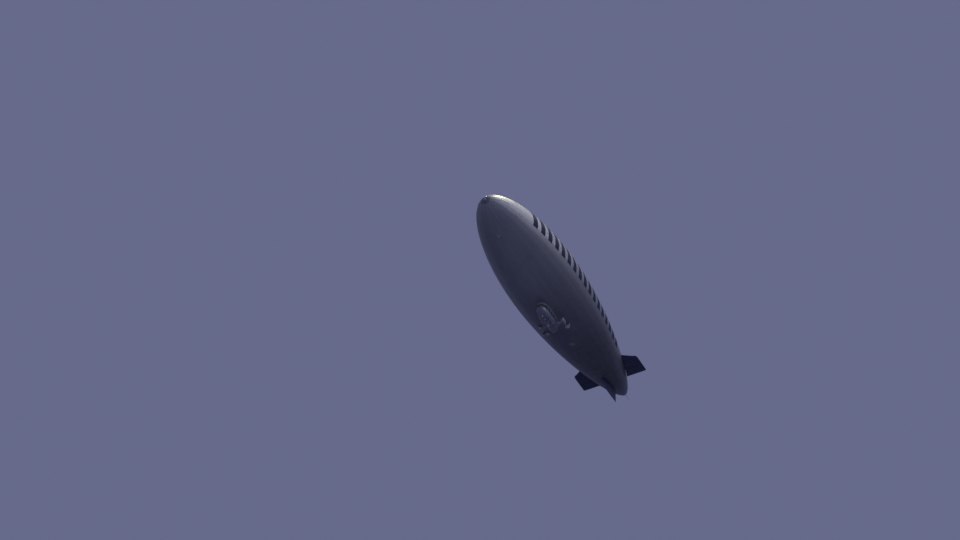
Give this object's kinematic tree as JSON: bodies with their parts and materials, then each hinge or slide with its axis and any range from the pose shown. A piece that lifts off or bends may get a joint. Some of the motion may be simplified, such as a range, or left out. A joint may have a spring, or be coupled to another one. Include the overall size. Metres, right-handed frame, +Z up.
{
  "type": "non-rigid airship, half-size model",
  "caption": "Long gas-filled envelope with a cross of tail fins, a windowed cabin car below, pusher engines on outriggers and a castering wheel.",
  "frame": {"origin": "on the envelope's axis at the centre of its lift", "axes": "+X forward along the envelope, +Y to port, +Z up"},
  "size_m": [30.7969, 7.0096, 9.0648],
  "materials": {
    "envelope_cloth": "rubberised cloth with a worn aluminium coating",
    "fin_cloth": "doped navy blue cloth, satin",
    "silver_paint": "aluminium paint, satin",
    "dark_paint": "dark grey paint, matt",
    "shell_paint": "grey-blue paint, satin",
    "nacelle_paint": "grey gloss paint",
    "propeller_paint": "black paint with pale tips",
    "engine_metal": "cast and oily",
    "steel": "galvanised, dull",
    "window_glass": "clear, slightly dusty",
    "seat_leather": "brown, creased",
    "floor_covering": "ribbed sheet",
    "tyre": "worn black rubber"
  },
  "bodies": {
    "root": {"cabin_floor": "floor_covering", "car_fairing": "silver_paint", "car_lower_shell": "shell_paint", "car_roof": "silver_paint", "car_window_frame": "silver_paint", "elevator_wheel": "steel", "envelope": "envelope_cloth", "front_air_valve": "silver_paint", "front_passenger_seat": "seat_leather", "gas_valve": "silver_paint", "gear_leg": "steel", "instrument_panel": "dark_paint", "lower_fin": "fin_cloth", "lower_fin_stay_1": "steel", "lower_fin_stay_2": "steel", "mooring_spindle": "steel", "nose_battens": "silver_paint", "nose_cone": "dark_paint", "pilot_seat": "seat_leather", "port_air_scoop": "silver_paint", "port_engine": "engine_metal", "port_fin": "fin_cloth", "port_fin_stay_1": "steel", "port_fin_stay_2": "steel", "port_hand_rail": "steel", "port_middle_seat": "seat_leather", "port_nacelle": "nacelle_paint", "port_outrigger": "silver_paint", "port_window_glass": "window_glass", "rear_air_valve": "silver_paint", "rear_bench": "seat_leather", "rear_window_glass": "window_glass", "starboard_air_scoop": "silver_paint", "starboard_engine": "engine_metal", "starboard_fin": "fin_cloth", "starboard_fin_stay_1": "steel", "starboard_fin_stay_2": "steel", "starboard_front_window_glass": "window_glass", "starboard_hand_rail": "steel", "starboard_middle_seat": "seat_leather", "starboard_nacelle": "nacelle_paint", "starboard_outrigger": "silver_paint", "starboard_rear_window_glass": "window_glass", "tail_boom": "steel", "tail_cap": "dark_paint", "upper_fin": "fin_cloth", "upper_fin_stay_1": "steel", "upper_fin_stay_2": "steel", "windshield_glass": "window_glass"},
    "port_elevator": {"port_elevator": "fin_cloth"},
    "starboard_elevator": {"starboard_elevator": "fin_cloth"},
    "upper_rudder": {"upper_rudder": "fin_cloth"},
    "lower_rudder": {"lower_rudder": "fin_cloth"},
    "car_door": {"car_door": "silver_paint", "door_glass": "window_glass"},
    "port_propeller": {"port_propeller": "propeller_paint"},
    "starboard_propeller": {"starboard_propeller": "propeller_paint"},
    "gear_fork": {"gear_fork": "steel"},
    "landing_wheel": {"landing_wheel": "tyre"}
  },
  "joints": [
    {"name": "port_elevator_hinge", "type": "hinge", "parent": "root", "child": "port_elevator", "pos_m": [-12.916, 0, 0], "axis": [0, 1, 0], "range_deg": [-25, 25]},
    {"name": "starboard_elevator_hinge", "type": "hinge", "parent": "root", "child": "starboard_elevator", "pos_m": [-12.916, 0, 0], "axis": [0, 1, 0], "range_deg": [-25, 25]},
    {"name": "upper_rudder_hinge", "type": "hinge", "parent": "root", "child": "upper_rudder", "pos_m": [-12.916, 0, 0], "axis": [0, 0, 1], "range_deg": [-28, 28]},
    {"name": "lower_rudder_hinge", "type": "hinge", "parent": "root", "child": "lower_rudder", "pos_m": [-12.916, 0, 0], "axis": [0, 0, 1], "range_deg": [-28, 28]},
    {"name": "car_door_hinge", "type": "hinge", "parent": "root", "child": "car_door", "pos_m": [1.217, -0.561, -4.11], "axis": [0, 0, 1], "range_deg": [0, 100]},
    {"name": "port_propeller_spin", "type": "hinge", "parent": "root", "child": "port_propeller", "pos_m": [-0.705, 1.12, -4.1], "axis": [1, 0, 0], "continuous": true},
    {"name": "starboard_propeller_spin", "type": "hinge", "parent": "root", "child": "starboard_propeller", "pos_m": [-0.705, -1.12, -4.1], "axis": [1, 0, 0], "continuous": true},
    {"name": "gear_swivel", "type": "hinge", "parent": "root", "child": "gear_fork", "pos_m": [0.7, 0, -5.1], "axis": [0, 0, 1], "continuous": true},
    {"name": "landing_wheel_spin", "type": "hinge", "parent": "gear_fork", "child": "landing_wheel", "pos_m": [0.61, 0, -5.395], "axis": [0, 1, 0], "continuous": true}
  ],
  "couplings": [
    {"joint": "starboard_elevator_hinge", "follows": "port_elevator_hinge", "ratio": 1},
    {"joint": "lower_rudder_hinge", "follows": "upper_rudder_hinge", "ratio": 1}
  ]
}
